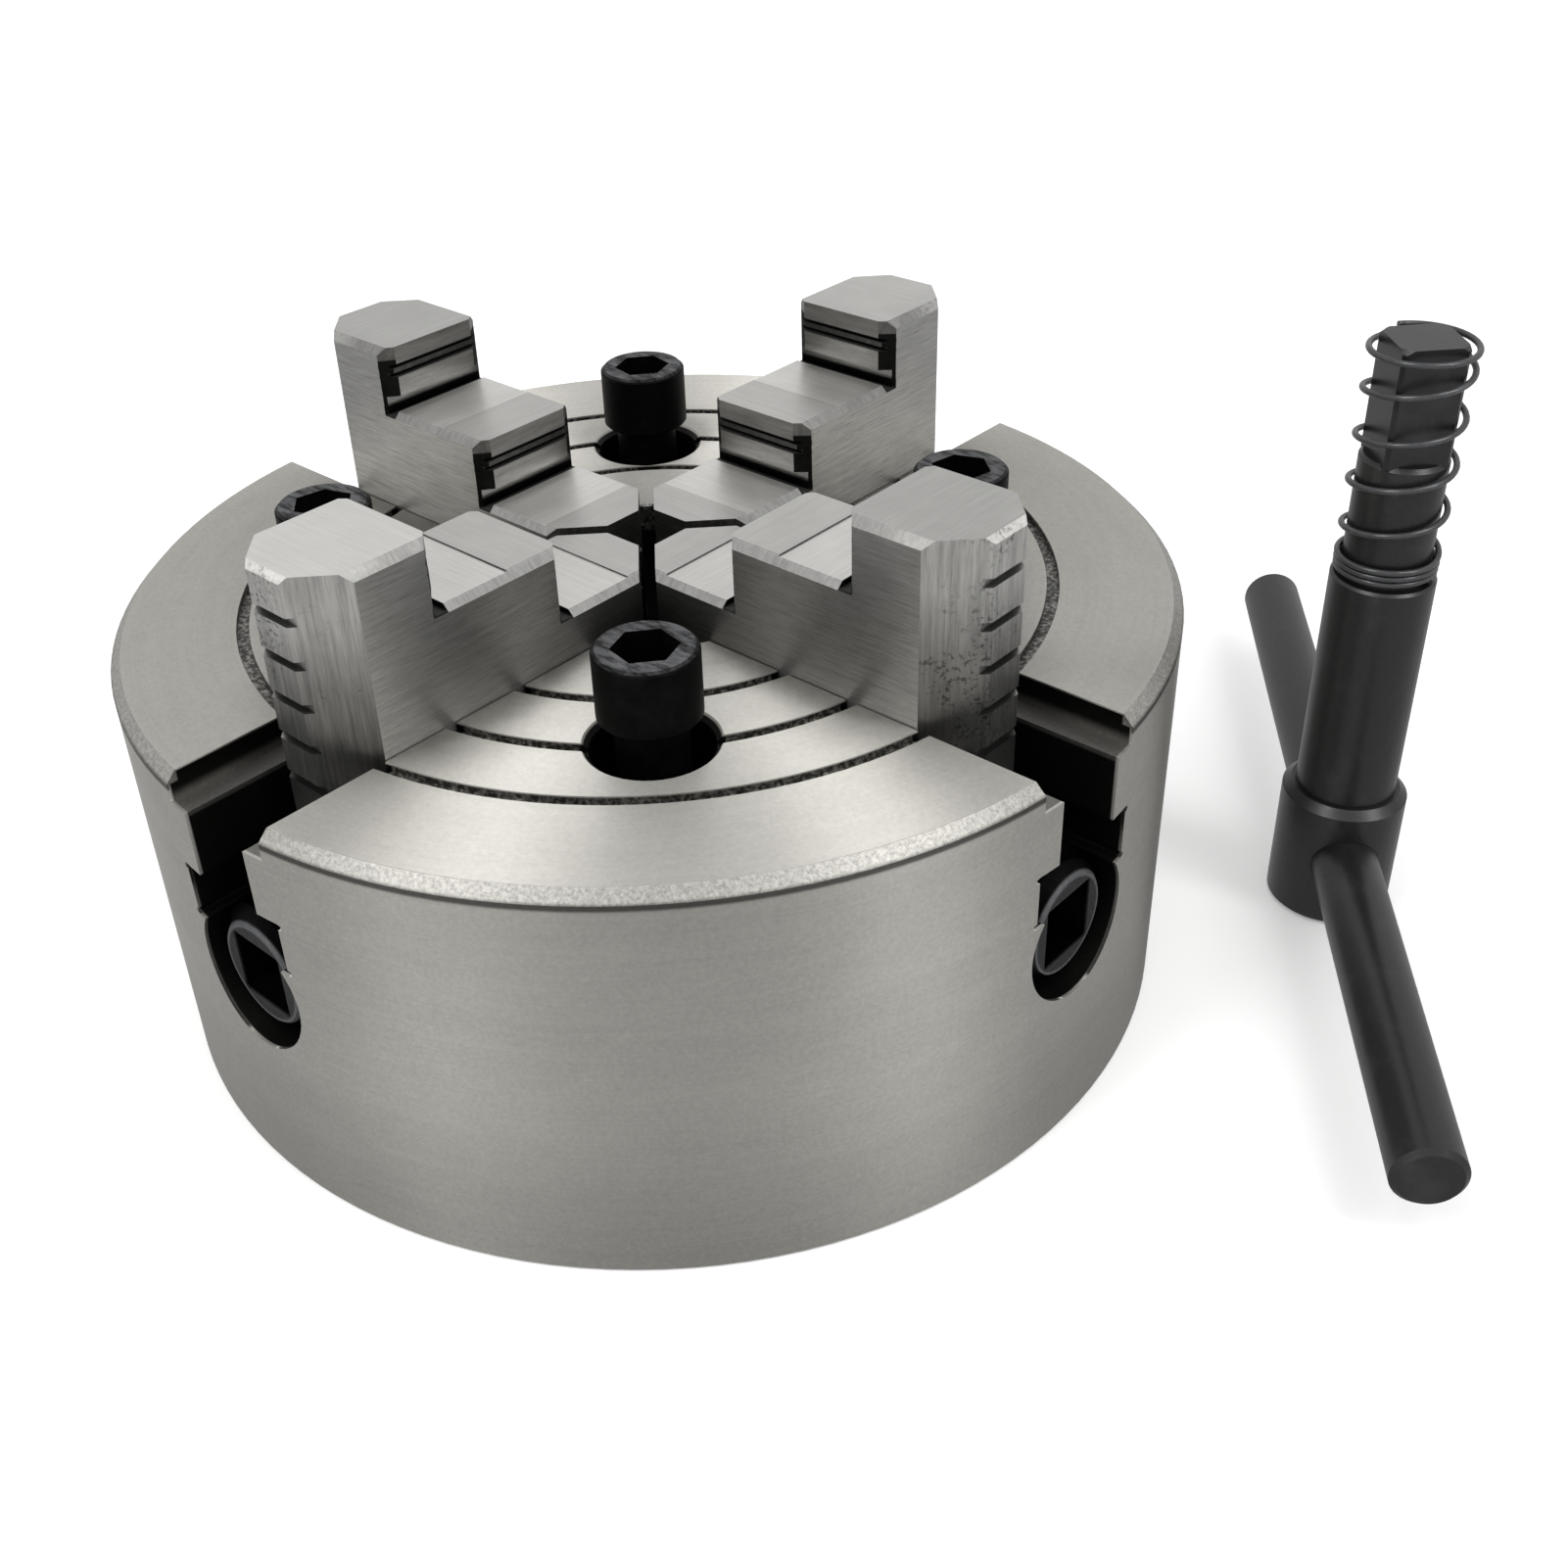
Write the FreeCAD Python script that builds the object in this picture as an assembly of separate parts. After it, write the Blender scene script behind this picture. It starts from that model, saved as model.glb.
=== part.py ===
import FreeCAD, Part
import math
import os

V = FreeCAD.Vector

# Four-jaw independent lathe chuck, diameter 160, lying on its back face.
# Origin at the centre of the back face, +Z out through the front face,
# jaws along +X, +Y, -X and -Y. All sizes in millimetres.

# --- chuck body ---------------------------------------------------------
BODY_R = 80.0
BODY_H = 65.0
RIM_CHAMFER = 1.6
BACK_CHAMFER = 0.4
REGISTER_R = 32.5
REGISTER_DEPTH = 5.0
BORE_R = 22.5
BORE_CHAMFER = 0.6
BORE_RELIEF_R = 23.5
BORE_RELIEF_Z = 41.5
GROOVE_RADII = (61.0, 49.1, 37.2)
GROOVE_WIDTH = 1.9
GROOVE_DEPTH = 1.2

# --- T slots for the jaws, measured across the slot and up from the back --
SLOT_HALF = 10.1
LEDGE_Z = 60.7
RAIL_HALF = 6.4
RAIL_UNDER_Z = 50.7
FLANGE_HALF = 10.15
SLOT_FLOOR_Z = 42.0
CORNER_RELIEF = 0.6

# --- jaw screws and their bores -------------------------------------------
SCREW_Z = 35.8
SCREW_BORE_R = 10.6
SCREW_BORE_START = 28.0
SCREW_START = 29.5
SCREW_END = 77.8
THREAD_PITCH = 5.0
THREAD_R = 10.1
THREAD_ROOT_R = 7.6
THREAD_CREST = 1.8
THREAD_FLANK = math.radians(15)
SCREW_CONE = 2.5
SCREW_TAIL_CHAMFER = 1.5
NECK_FROM = 50.0
NECK_TO = 56.0
NECK_R = 5.0
SOCKET_FLATS = 10.2
SOCKET_CORNER_R = 6.95
SOCKET_DEPTH = 15.0
SOCKET_DRILL_R = 4.6
SOCKET_DRILL_DEPTH = 18.0

# --- thrust forks ----------------------------------------------------------
FORK_AT = 53.0
FORK_R = 9.0
FORK_HOLE_R = 9.05
FORK_FOOT_Z = 1.0
FORK_SHOULDER_Z = 24.5
FORK_TOP_Z = 40.3
FORK_PLATE = 5.6
FORK_BEARING_R = 5.08

# --- jaws: radial positions at rest, heights above the back face -----------
JAW_HALF = 9.92
JAW_IN = 5.0
JAW_OUT = 65.5
NOSE_IN_HALF = 3.3
NOSE_OUT_HALF = 3.4
TREAD_Z = (72.3, 82.4, 92.4)
RISER_AT = (25.2, 46.2)
RISER_FLAT_HALF = 7.7
RISER_CORNER = 1.8
EDGE_CHAMFER = 1.2
END_CHAMFER = 0.9
JAW_SHOULDER_Z = 60.9
JAW_NECK_HALF = 6.2
JAW_FLANGE_Z = 50.5
JAW_BOTTOM_Z = 42.3
GROUND_LENGTH = (12.4, 11.6)
GROUND_STEP = 0.2
RELIEF_BACK = 0.55
RELIEF_INTO = 1.4
RELIEF_DOWN = 1.0
RELIEF_UP = 1.9
GRIP_GROOVE_FROM = 5.1
GRIP_GROOVE_TO = 7.1
GRIP_GROOVE_DEPTH = 0.35
GRIP_SLIT = 0.6
GRIP_SLIT_DEPTH = 0.95
SERRATION_PITCH = 6.3
SERRATION_COUNT = 5
SERRATION_HEIGHT = 1.3
SERRATION_DEPTH = 1.0
NUT_RADIAL_GAP = 0.3
NUT_FLANK_GAP = 0.25

# --- mounting screws, M10 socket head ----------------------------------------
BOLT_PITCH_R = 47.5
BOLT_HOLE_R = 5.5
BOLT_SEAT_Z = 53.0
COUNTERBORE_R = 8.5
COUNTERBORE_CHAMFER = 0.9
BOLT_R = 5.0
BOLT_LENGTH = 69.3
BOLT_HEAD_R = 7.1
BOLT_HEAD_H = 10.0
BOLT_HEAD_CHAMFER = 0.6
BOLT_HEX = 8.0
BOLT_HEX_DEPTH = 5.5
BOLT_THREAD_LENGTH = 32.0
BOLT_THREAD_PITCH = 1.5
BOLT_ROOT_R = 4.1
BOLT_THREAD_R = 4.95
BOLT_TIP = 1.2

# --- chuck key, standing beside the chuck --------------------------------------
KEY_X = 84.0
KEY_Y = 73.8
KEY_BOSS_R = 9.85
KEY_BOSS_H = 22.75
KEY_SHANK_R = 7.85
KEY_SHANK_TOP = 61.5
KEY_NECK_R = 6.5
KEY_NECK_TOP = 81.1
KEY_SQUARE = 9.9
KEY_SQUARE_CORNER_R = 6.6
KEY_TOP = 98.7
KEY_SQUARE_TURN = 46.0
BAR_Z = 12.0
BAR_R = 5.3
BAR_HOLE_R = 5.32
BAR_TURN = -54.35
BAR_NEAR = 77.3
BAR_FAR = 82.7
BAR_CHAMFER = 0.8
SPRING_WIRE_R = 0.48
SPRING_COIL_R = (7.15, 7.5)
SPRING_CLOSED_TURNS = 3.0
SPRING_CLOSED_PITCH = 1.0
SPRING_OPEN_TURNS = 4.4
SPRING_OPEN_PITCH = 7.2
SPRING_END_TURNS = 1.0
SPRING_END_RISE = 1.2
SPRING_SEAT_GAP = 0.1

SEAM_TURN = 17.0
JAW_ANGLES = (0, 90, 180, 270)
BOLT_ANGLES = (45, 135, 225, 315)


# --- helpers -------------------------------------------------------------------
def box(x0, x1, y0, y1, z0, z1):
    return Part.makeBox(x1 - x0, y1 - y0, z1 - z0, V(x0, y0, z0))


def prism(points, z0, z1):
    """Upright prism on an XY outline."""
    wire = Part.makePolygon([V(x, y, z0) for x, y in points + points[:1]])
    return Part.Face(wire).extrude(V(0, 0, z1 - z0))


def bar_along_x(points, x0, x1):
    """Bar along X with a section given as (y, z) points."""
    wire = Part.makePolygon([V(x0, y, z) for y, z in points + points[:1]])
    return Part.Face(wire).extrude(V(x1 - x0, 0, 0))


def turned(points):
    """Solid of revolution about Z from (radius, z) points."""
    wire = Part.makePolygon([V(r, 0, z) for r, z in points + points[:1]])
    return Part.Face(wire).revolve(V(0, 0, 0), V(0, 0, 1), 360)


def mirrored_outline(half_points):
    """Close an (x, y) outline given for positive y by its mirror image."""
    return half_points + [(x, -y) for x, y in reversed(half_points)]


def mirrored_section(half_points):
    """Close a (y, z) section given for positive y by its mirror image."""
    return half_points + [(-y, z) for y, z in reversed(half_points)]


def placed(shape, turn=0.0, move=(0, 0, 0)):
    out = shape.copy()
    out.rotate(V(0, 0, 0), V(0, 0, 1), turn)
    out.translate(V(*move))
    return out


def laid_along_x(shape, z):
    """Swing a shape built along +Z so that it runs along +X at height z."""
    out = shape.copy()
    out.rotate(V(0, 0, 0), V(0, 1, 0), 90)
    out.translate(V(0, 0, z))
    return out


def helical_ridge(pitch, start, length, r_in, r_out, half_in, half_out, left_handed):
    """Trapezoidal ridge wound round the Z axis from height start."""
    helix = Part.makeLongHelix(pitch, length, (r_in + r_out) / 2.0, 0, left_handed)
    profile = Part.makePolygon([
        V(r_in, 0, -half_in),
        V(r_out, 0, -half_out),
        V(r_out, 0, half_out),
        V(r_in, 0, half_in),
        V(r_in, 0, -half_in),
    ])
    ridge = Part.Wire(helix.Edges).makePipeShell([profile], True, True)
    ridge.translate(V(0, 0, start))
    return ridge


def threaded(core, ridge):
    """Join a ridge to its core with the core's seam turned away from the ridge's start."""
    return placed(core, SEAM_TURN).fuse(ridge)


def trimmed(shape, z0, z1, reach=40.0):
    """Keep only what lies between two heights."""
    below = Part.makeCylinder(reach, reach, V(0, 0, z0 - reach))
    above = Part.makeCylinder(reach, reach, V(0, 0, z1))
    return shape.cut(below).cut(above)


def bevelled(shape, r_end, z_end, r_full, z_full, reach=40.0):
    """Bevel a shaft's end with a cone from (r_end, z_end) to (r_full, z_full)."""
    ring = turned([
        (r_end, z_end),
        (2 * r_full - r_end, 2 * z_full - z_end),
        (reach, 2 * z_full - z_end),
        (reach, 2 * z_end - z_full),
        (2 * r_end - r_full, 2 * z_end - z_full),
    ])
    return shape.cut(placed(ring, SEAM_TURN))


def square_prism(flats, corner_r, z0, z1):
    half = flats / 2.0
    block = box(-half, half, -half, half, z0, z1)
    return block.common(Part.makeCylinder(corner_r, z1 - z0, V(0, 0, z0)))


def hexagon(flats):
    r = flats / math.sqrt(3)
    return [(r * math.cos(math.radians(60 * i)), r * math.sin(math.radians(60 * i))) for i in range(6)]


def save(node, shape):
    solid = shape.Solids[0] if len(shape.Solids) == 1 else shape
    print(node, "solids", len(shape.Solids), "valid", solid.isValid(), "volume", round(solid.Volume, 1))
    solid.exportStep("parts/%s.step" % node)


# --- chuck body ------------------------------------------------------------------
def slot_cutter():
    """T slot and screw bore of the jaw on +X, open to the centre and the rim."""
    reach = BODY_R + 5
    cut = bar_along_x(mirrored_section([
        (SLOT_HALF, BODY_H + 1),
        (SLOT_HALF, LEDGE_Z),
        (RAIL_HALF, LEDGE_Z),
        (RAIL_HALF, RAIL_UNDER_Z),
        (FLANGE_HALF, RAIL_UNDER_Z),
        (FLANGE_HALF + CORNER_RELIEF, RAIL_UNDER_Z - 0.2),
        (FLANGE_HALF + CORNER_RELIEF, RAIL_UNDER_Z - 0.8),
        (FLANGE_HALF, RAIL_UNDER_Z - 1.0),
        (FLANGE_HALF, SLOT_FLOOR_Z + 1.0),
        (FLANGE_HALF + CORNER_RELIEF, SLOT_FLOOR_Z + 0.8),
        (FLANGE_HALF + CORNER_RELIEF, SLOT_FLOOR_Z + 0.2),
        (FLANGE_HALF, SLOT_FLOOR_Z),
    ]), 0, reach)
    bore = Part.makeCylinder(SCREW_BORE_R, reach - SCREW_BORE_START, V(SCREW_BORE_START, 0, SCREW_Z), V(1, 0, 0))
    fork_hole = Part.makeCylinder(FORK_HOLE_R, SCREW_Z + 1, V(FORK_AT, 0, -1))
    return cut.fuse(bore).fuse(fork_hole)


def bolt_hole_cutter():
    hole = Part.makeCylinder(BOLT_HOLE_R, BODY_H + 2, V(BOLT_PITCH_R, 0, -1))
    seat = Part.makeCylinder(COUNTERBORE_R, BODY_H, V(BOLT_PITCH_R, 0, BOLT_SEAT_Z))
    mouth = Part.makeCone(
        COUNTERBORE_R, COUNTERBORE_R + COUNTERBORE_CHAMFER + 1,
        COUNTERBORE_CHAMFER + 1, V(BOLT_PITCH_R, 0, BODY_H - COUNTERBORE_CHAMFER),
    )
    return hole.fuse(seat).fuse(mouth)


def chuck_body():
    body = turned([
        (REGISTER_R, 0),
        (BODY_R - BACK_CHAMFER, 0),
        (BODY_R, BACK_CHAMFER),
        (BODY_R, BODY_H - RIM_CHAMFER),
        (BODY_R - RIM_CHAMFER, BODY_H),
        (BORE_RELIEF_R + BORE_CHAMFER, BODY_H),
        (BORE_RELIEF_R, BODY_H - BORE_CHAMFER),
        (BORE_RELIEF_R, BORE_RELIEF_Z),
        (BORE_R, BORE_RELIEF_Z),
        (BORE_R, REGISTER_DEPTH + BORE_CHAMFER),
        (BORE_R + BORE_CHAMFER, REGISTER_DEPTH),
        (REGISTER_R, REGISTER_DEPTH),
    ])
    for radius in GROOVE_RADII:
        ring = Part.makeCylinder(radius + GROOVE_WIDTH / 2, 3, V(0, 0, BODY_H - GROOVE_DEPTH))
        core = Part.makeCylinder(radius - GROOVE_WIDTH / 2, 5, V(0, 0, BODY_H - GROOVE_DEPTH - 1))
        body = body.cut(ring.cut(core))
    for angle in JAW_ANGLES:
        body = body.cut(placed(slot_cutter(), angle))
    for angle in BOLT_ANGLES:
        body = body.cut(placed(bolt_hole_cutter(), angle))
    return body


# --- jaw screw ---------------------------------------------------------------------
def ridge_half(radius, extra=0.0):
    """Half the axial width of the thread ridge at a radius."""
    return THREAD_CREST / 2 + (THREAD_R - radius) * math.tan(THREAD_FLANK) + extra


def jaw_screw():
    inner = THREAD_ROOT_R - 0.6
    length = SCREW_END - SCREW_START
    thread = helical_ridge(
        THREAD_PITCH, SCREW_START - THREAD_PITCH, length + 2 * THREAD_PITCH,
        inner, THREAD_R, ridge_half(inner), ridge_half(THREAD_R), True,
    )
    screw = threaded(Part.makeCylinder(THREAD_ROOT_R, length, V(0, 0, SCREW_START)), thread)
    screw = trimmed(screw, SCREW_START, SCREW_END)
    screw = bevelled(
        screw, THREAD_R - SCREW_TAIL_CHAMFER, SCREW_START, THREAD_R, SCREW_START + SCREW_TAIL_CHAMFER,
    )
    screw = bevelled(screw, THREAD_ROOT_R, SCREW_END, THREAD_R, SCREW_END - SCREW_CONE)
    neck_ring = Part.makeCylinder(THREAD_R + 2, NECK_TO - NECK_FROM, V(0, 0, NECK_FROM))
    neck_core = Part.makeCylinder(NECK_R, NECK_TO - NECK_FROM + 2, V(0, 0, NECK_FROM - 1))
    screw = screw.cut(neck_ring.cut(neck_core))
    socket = square_prism(SOCKET_FLATS, SOCKET_CORNER_R, SCREW_END - SOCKET_DEPTH, SCREW_END + 1)
    drill = Part.makeCylinder(SOCKET_DRILL_R, SOCKET_DRILL_DEPTH, V(0, 0, SCREW_END - SOCKET_DRILL_DEPTH))
    return laid_along_x(screw.cut(socket).cut(drill), SCREW_Z)


# --- thrust fork -----------------------------------------------------------------------
def thrust_fork():
    blank = Part.makeCylinder(FORK_R, FORK_TOP_Z - FORK_FOOT_Z, V(FORK_AT, 0, FORK_FOOT_Z))
    half = FORK_PLATE / 2
    for x0, x1 in ((FORK_AT - 20, FORK_AT - half), (FORK_AT + half, FORK_AT + 20)):
        blank = blank.cut(box(x0, x1, -20, 20, FORK_SHOULDER_Z, FORK_TOP_Z + 1))
    saddle = Part.makeCylinder(FORK_BEARING_R, 40, V(FORK_AT - 20, 0, SCREW_Z), V(1, 0, 0))
    mouth = box(FORK_AT - 20, FORK_AT + 20, -FORK_BEARING_R, FORK_BEARING_R, SCREW_Z, FORK_TOP_Z + 1)
    return blank.cut(saddle).cut(mouth)


# --- jaw -----------------------------------------------------------------------------------
def jaw_outline(face_at, face_half, corner_at):
    return mirrored_outline([
        (face_at, face_half),
        (corner_at, JAW_HALF),
        (JAW_OUT - (JAW_HALF - NOSE_OUT_HALF), JAW_HALF),
        (JAW_OUT, NOSE_OUT_HALF),
    ])


def jaw_step(top_z, outline):
    """One full step of the jaw with its long top edges chamfered."""
    section = bar_along_x(mirrored_section([
        (JAW_HALF, JAW_SHOULDER_Z - 0.5),
        (JAW_HALF, top_z - EDGE_CHAMFER),
        (JAW_HALF - EDGE_CHAMFER, top_z),
    ]), 0, 70)
    return section.common(prism(outline, JAW_SHOULDER_Z - 0.5, top_z + 1))


def jaw_blank():
    low = jaw_outline(JAW_IN, NOSE_IN_HALF, JAW_IN + JAW_HALF - NOSE_IN_HALF)
    blank = jaw_step(TREAD_Z[0], low)
    for at, top in zip(RISER_AT, TREAD_Z[1:]):
        blank = blank.fuse(jaw_step(top, jaw_outline(at, RISER_FLAT_HALF, at + RISER_CORNER)))
    guide = bar_along_x(mirrored_section([
        (JAW_HALF, JAW_BOTTOM_Z),
        (JAW_HALF, JAW_FLANGE_Z),
        (JAW_NECK_HALF, JAW_FLANGE_Z),
        (JAW_NECK_HALF, JAW_SHOULDER_Z),
        (JAW_HALF, JAW_SHOULDER_Z),
        (JAW_HALF, JAW_SHOULDER_Z + 1),
    ]), 0, 70)
    trim = box(0, 70, -11, 11, JAW_SHOULDER_Z - 1, JAW_SHOULDER_Z)
    return blank.cut(trim).fuse(guide.common(prism(low, JAW_BOTTOM_Z - 1, JAW_SHOULDER_Z + 2)))


def jaw_details():
    """Everything milled out of the jaw above the body face."""
    cuts = []
    for at, tread, length in zip(RISER_AT, TREAD_Z, GROUND_LENGTH):
        cuts.append(box(at - length, at + 0.5, -11, 11, tread - GROUND_STEP, tread))
        cuts.append(box(at - RELIEF_BACK, at + RELIEF_INTO, -11, 11, tread - RELIEF_DOWN, tread + RELIEF_UP))
        low = tread + GRIP_GROOVE_FROM
        high = tread + GRIP_GROOVE_TO
        cuts.append(box(at - 1, at + GRIP_GROOVE_DEPTH, -11, 11, low, high))
        for z in (low, high - GRIP_SLIT):
            cuts.append(box(at - 1, at + GRIP_SLIT_DEPTH, -11, 11, z, z + GRIP_SLIT))
    for i in range(1, SERRATION_COUNT + 1):
        z = TREAD_Z[2] - i * SERRATION_PITCH - SERRATION_HEIGHT / 2
        cuts.append(box(JAW_OUT - SERRATION_DEPTH, JAW_OUT + 1, -11, 11, z, z + SERRATION_HEIGHT))
    z = TREAD_Z[0] - SERRATION_PITCH - SERRATION_HEIGHT / 2
    cuts.append(box(JAW_IN - 1, JAW_IN + SERRATION_DEPTH, -11, 11, z, z + SERRATION_HEIGHT))
    corner = [
        (JAW_OUT - END_CHAMFER, TREAD_Z[2]),
        (JAW_OUT + 1, TREAD_Z[2] - END_CHAMFER - 1),
        (JAW_OUT + 1, TREAD_Z[2] + 1),
        (JAW_OUT - END_CHAMFER, TREAD_Z[2] + 1),
    ]
    wire = Part.makePolygon([V(x, -11, z) for x, z in corner + corner[:1]])
    cuts.append(Part.Face(wire).extrude(V(0, 22, 0)))
    return cuts


def nut_thread_cutter():
    """The screw's own thread, enlarged all round by the running gap."""
    start = SCREW_START - THREAD_PITCH * 6
    length = JAW_OUT - start + THREAD_PITCH
    inner = THREAD_ROOT_R - 0.4
    outer = THREAD_R + NUT_RADIAL_GAP
    ridge = helical_ridge(
        THREAD_PITCH, start, length, inner, outer,
        ridge_half(inner, NUT_FLANK_GAP), ridge_half(outer, NUT_FLANK_GAP), True,
    )
    core = Part.makeCylinder(THREAD_ROOT_R + NUT_RADIAL_GAP, length + 6, V(0, 0, start - 3))
    return laid_along_x(threaded(core, ridge), SCREW_Z)


def jaw():
    shape = jaw_blank()
    for cut in jaw_details():
        shape = shape.cut(cut)
    return shape.cut(nut_thread_cutter())


# --- mounting screw -------------------------------------------------------------------------
def mounting_screw():
    """Standing on its tip at the origin, head up."""
    top = BOLT_LENGTH + BOLT_HEAD_H
    head = turned([
        (0, BOLT_THREAD_LENGTH),
        (BOLT_ROOT_R + 0.1, BOLT_THREAD_LENGTH),
        (BOLT_R, BOLT_THREAD_LENGTH + 0.9),
        (BOLT_R, BOLT_LENGTH),
        (BOLT_HEAD_R - 0.3, BOLT_LENGTH),
        (BOLT_HEAD_R, BOLT_LENGTH + 0.3),
        (BOLT_HEAD_R, top - BOLT_HEAD_CHAMFER),
        (BOLT_HEAD_R - BOLT_HEAD_CHAMFER, top),
        (0, top),
    ])
    hexagonal = prism(hexagon(BOLT_HEX), top - BOLT_HEX_DEPTH, top + 1)
    point = Part.makeCone(0.2, BOLT_HEX / 2 - 0.1, 1.6, V(0, 0, top - BOLT_HEX_DEPTH - 1.6))
    thread = helical_ridge(
        BOLT_THREAD_PITCH, -2 * BOLT_THREAD_PITCH, BOLT_THREAD_LENGTH + 2 * BOLT_THREAD_PITCH,
        BOLT_ROOT_R - 0.3, BOLT_THREAD_R, 0.6, 0.1, False,
    )
    rod = threaded(Part.makeCylinder(BOLT_ROOT_R, BOLT_THREAD_LENGTH + 3), thread)
    rod = rod.cut(Part.makeCylinder(40, 10, V(0, 0, -10)))
    rod = bevelled(rod, BOLT_R - BOLT_TIP, 0, BOLT_R, BOLT_TIP)
    return rod.fuse(placed(head.cut(hexagonal).cut(point), 2 * SEAM_TURN))


# --- chuck key ----------------------------------------------------------------------------------
def key_shank():
    shank = turned([
        (0, 0),
        (KEY_BOSS_R - 0.9, 0),
        (KEY_BOSS_R, 0.9),
        (KEY_BOSS_R, KEY_BOSS_H - 1.3),
        (KEY_BOSS_R - 1.3, KEY_BOSS_H),
        (KEY_SHANK_R, KEY_BOSS_H),
        (KEY_SHANK_R, KEY_SHANK_TOP - 0.4),
        (KEY_SHANK_R - 0.4, KEY_SHANK_TOP),
        (KEY_NECK_R, KEY_SHANK_TOP),
        (KEY_NECK_R, KEY_NECK_TOP - 0.6),
        (KEY_NECK_R - 0.6, KEY_NECK_TOP),
        (0, KEY_NECK_TOP),
    ])
    drive = square_prism(KEY_SQUARE, KEY_SQUARE_CORNER_R, KEY_NECK_TOP - 0.5, KEY_TOP)
    tip = turned([
        (0, KEY_NECK_TOP - 1),
        (KEY_SQUARE_CORNER_R + 1, KEY_NECK_TOP - 1),
        (KEY_SQUARE_CORNER_R + 1, KEY_TOP - 1.6),
        (KEY_SQUARE_CORNER_R - 0.6, KEY_TOP),
        (0, KEY_TOP),
    ])
    drive = drive.common(tip)
    drive.rotate(V(0, 0, 0), V(0, 0, 1), KEY_SQUARE_TURN)
    shank = shank.fuse(drive)
    hole = Part.makeCylinder(BAR_HOLE_R, 60, V(-30, 0, BAR_Z), V(1, 0, 0))
    return placed(shank.cut(placed(hole, BAR_TURN)), 0, (KEY_X, KEY_Y, 0))


def key_bar():
    bar = turned([
        (0, -BAR_FAR),
        (BAR_R - BAR_CHAMFER, -BAR_FAR),
        (BAR_R, -BAR_FAR + BAR_CHAMFER),
        (BAR_R, BAR_NEAR - BAR_CHAMFER),
        (BAR_R - BAR_CHAMFER, BAR_NEAR),
        (0, BAR_NEAR),
    ])
    return placed(laid_along_x(bar, BAR_Z), BAR_TURN, (KEY_X, KEY_Y, 0))


def spring_path():
    """Points up the wire's centre line, closed at the foot, open above."""
    steps = 20
    total = SPRING_CLOSED_TURNS + SPRING_OPEN_TURNS + SPRING_END_TURNS
    z = KEY_SHANK_TOP + SPRING_SEAT_GAP + SPRING_WIRE_R
    points = []
    for i in range(int(total * steps) + 1):
        turn = i / steps
        share = min(max(turn / total, 0), 1)
        radius = SPRING_COIL_R[0] + (SPRING_COIL_R[1] - SPRING_COIL_R[0]) * share
        angle = 2 * math.pi * turn
        points.append(V(radius * math.cos(angle), radius * math.sin(angle), z))
        if turn < SPRING_CLOSED_TURNS:
            pitch = SPRING_CLOSED_PITCH
        elif turn < SPRING_CLOSED_TURNS + SPRING_OPEN_TURNS:
            pitch = SPRING_OPEN_PITCH
        else:
            pitch = SPRING_END_RISE
        z += pitch / steps
    return points


def key_spring():
    points = spring_path()
    curve = Part.BSplineCurve()
    curve.interpolate(points)
    start = points[0]
    tangent = curve.tangent(curve.FirstParameter)[0]
    circle = Part.Wire(Part.makeCircle(SPRING_WIRE_R, start, tangent))
    wire = Part.Wire(curve.toShape()).makePipeShell([circle], True, True)
    return placed(wire, 0, (KEY_X, KEY_Y, 0))


# --- build and write ---------------------------------------------------------------------------
os.makedirs("parts", exist_ok=True)

save("chuck_body", chuck_body())

one_jaw = jaw()
one_screw = jaw_screw()
one_fork = thrust_fork()
for number, angle in enumerate(JAW_ANGLES, 1):
    save("jaw_%d" % number, placed(one_jaw, angle))
    save("jaw_screw_%d" % number, placed(one_screw, angle))
    save("thrust_fork_%d" % number, placed(one_fork, angle))

one_bolt = mounting_screw()
for number, angle in enumerate(BOLT_ANGLES, 1):
    x = BOLT_PITCH_R * math.cos(math.radians(angle))
    y = BOLT_PITCH_R * math.sin(math.radians(angle))
    save("mounting_screw_%d" % number, placed(one_bolt, angle, (x, y, 0)))

save("key_shank", key_shank())
save("key_bar", key_bar())
save("key_spring", key_spring())
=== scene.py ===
import math

import bpy
from mathutils import Matrix, Vector


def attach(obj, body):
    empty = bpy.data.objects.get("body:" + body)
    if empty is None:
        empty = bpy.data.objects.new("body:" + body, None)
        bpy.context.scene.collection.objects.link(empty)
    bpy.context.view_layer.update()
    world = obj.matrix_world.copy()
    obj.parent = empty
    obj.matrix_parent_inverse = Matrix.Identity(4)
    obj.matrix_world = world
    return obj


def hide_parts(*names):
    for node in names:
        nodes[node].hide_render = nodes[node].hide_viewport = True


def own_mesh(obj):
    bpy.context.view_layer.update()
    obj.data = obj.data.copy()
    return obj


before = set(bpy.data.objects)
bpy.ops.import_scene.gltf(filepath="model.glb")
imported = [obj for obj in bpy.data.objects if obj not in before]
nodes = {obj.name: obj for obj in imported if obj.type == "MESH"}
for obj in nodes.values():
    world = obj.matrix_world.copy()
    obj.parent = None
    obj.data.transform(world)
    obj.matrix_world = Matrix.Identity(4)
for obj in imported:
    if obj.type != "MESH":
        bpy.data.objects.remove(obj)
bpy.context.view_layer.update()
scene = bpy.context.scene
scene.view_settings.view_transform = "Standard"
scene.view_settings.look = "None"
scene.view_settings.exposure = 0.0

SCREWS = tuple(f"jaw_screw_{i}" for i in range(1, 5))
FORKS = tuple(f"thrust_fork_{i}" for i in range(1, 5))
BOLTS = tuple(f"mounting_screw_{i}" for i in range(1, 5))

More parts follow.
